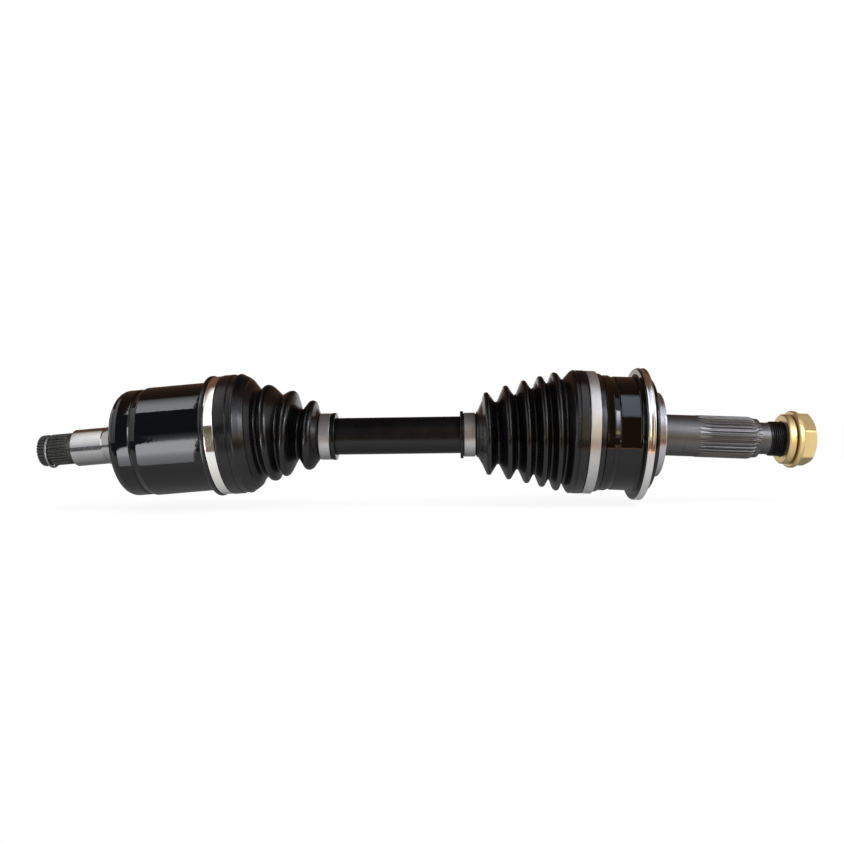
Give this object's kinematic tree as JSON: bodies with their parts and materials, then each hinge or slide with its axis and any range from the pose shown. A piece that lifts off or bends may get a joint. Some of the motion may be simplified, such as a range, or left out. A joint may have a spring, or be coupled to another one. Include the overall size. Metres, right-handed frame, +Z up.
{
  "type": "cv axle",
  "caption": "Bar drive shaft with a fixed ball joint and splined wheel stub at one end, a plunging ball joint and splined stub at the other, rubber bellows over both.",
  "frame": {"origin": "on the bar's axis, midway between the two joint centres, where a service clamp holds the bar", "axes": "+X along the bar towards the wheel stub, +Z up, both joints resting a few degrees off straight"},
  "size_m": [0.5889, 0.1008, 0.1007],
  "materials": {
    "shaft_paint": "satin black paint",
    "housing_paint": "gloss black paint; ground journal and dark phosphated splines on the stubs",
    "bearing_steel": "ground and hardened",
    "spring_steel": "oiled spring steel",
    "stainless": "satin stainless strip",
    "zinc": "bright zinc plate",
    "yellow_zinc": "yellow passivated zinc plate",
    "rubber": "satin black rubber"
  },
  "bodies": {
    "shaft": {"axle_shaft": "shaft_paint", "outer_inner_race": "bearing_steel", "outer_race_ring": "spring_steel", "outer_small_clamp": "stainless", "inner_inner_race": "bearing_steel", "inner_race_ring": "spring_steel", "inner_small_clamp": "stainless"},
    "outer_back": {"outer_back_ball": "bearing_steel"},
    "outer_middle": {"outer_cage": "bearing_steel", "outer_balls": "bearing_steel"},
    "outer_front": {"outer_front_ball": "bearing_steel"},
    "wheel_stub": {"outer_joint_housing": "housing_paint", "dust_deflector": "zinc", "outer_large_clamp": "stainless", "outer_boot": "rubber"},
    "washer": {"hub_washer": "yellow_zinc"},
    "nut": {"hub_nut": "yellow_zinc"},
    "inner_back": {"inner_back_ball": "bearing_steel"},
    "inner_middle": {"inner_cage": "bearing_steel", "inner_balls": "bearing_steel"},
    "inner_front": {"inner_front_ball": "bearing_steel"},
    "slip_boot": {"inner_boot": "rubber"},
    "diff_stub": {"inner_joint_housing": "housing_paint", "housing_snap_ring": "spring_steel", "diff_circlip": "spring_steel", "inner_large_clamp": "stainless"}
  },
  "joints": [
    {"name": "outer_steer", "type": "hinge", "parent": "shaft", "child": "outer_back", "pos_m": [0.161, 0, 0], "axis": [0, 0, 1], "range_deg": [-17, 18], "deforming": ["outer_boot"]},
    {"name": "outer_bump", "type": "hinge", "parent": "outer_back", "child": "outer_middle", "pos_m": [0.161, 0, 0], "axis": [0.0087, 1, 0], "range_deg": [-8.9, 6.1]},
    {"name": "outer_bump_second", "type": "hinge", "parent": "outer_middle", "child": "outer_front", "pos_m": [0.161, 0, 0], "axis": [0.0087, 1, 0], "range_deg": [-8.9, 6.1]},
    {"name": "outer_steer_second", "type": "hinge", "parent": "outer_front", "child": "wheel_stub", "pos_m": [0.161, 0, 0], "axis": [0.0488, -0.0004, 0.9988], "range_deg": [-17, 18]},
    {"name": "washer_travel", "type": "slide", "parent": "wheel_stub", "child": "washer", "axis": [0.9987, -0.0174, -0.0488], "range_m": [-0.009, 0.012]},
    {"name": "nut_turn", "type": "hinge", "parent": "washer", "child": "nut", "pos_m": [0.29482, -0.00234, -0.00655], "axis": [0.9987, -0.0174, -0.0488], "range_deg": [-2160, 2880]},
    {"name": "inner_yaw", "type": "hinge", "parent": "shaft", "child": "inner_back", "pos_m": [-0.161, 0, 0], "axis": [0, 0, 1], "range_deg": [-3, 3], "deforming": ["inner_boot"]},
    {"name": "inner_pitch", "type": "hinge", "parent": "inner_back", "child": "inner_middle", "pos_m": [-0.161, 0, 0], "axis": [0, 1, 0], "range_deg": [-6.9, 11.1]},
    {"name": "inner_pitch_second", "type": "hinge", "parent": "inner_middle", "child": "inner_front", "pos_m": [-0.161, 0, 0], "axis": [0, 1, 0], "range_deg": [-6.9, 11.1]},
    {"name": "inner_yaw_second", "type": "hinge", "parent": "inner_front", "child": "slip_boot", "pos_m": [-0.161, 0, 0], "axis": [-0.0732, 0, 0.9973], "range_deg": [-3, 3]},
    {"name": "plunge", "type": "slide", "parent": "slip_boot", "child": "diff_stub", "axis": [-0.9973, 0, -0.0732], "range_m": [-0.014, 0.014]}
  ],
  "couplings": [
    {"joint": "outer_bump_second", "follows": "outer_bump", "ratio": 1},
    {"joint": "outer_steer_second", "follows": "outer_steer", "ratio": 1},
    {"joint": "inner_pitch_second", "follows": "inner_pitch", "ratio": 1},
    {"joint": "inner_yaw_second", "follows": "inner_yaw", "ratio": 1},
    {"joint": "washer_travel", "follows": "nut_turn", "m_per_rad": 0.00023873}
  ]
}
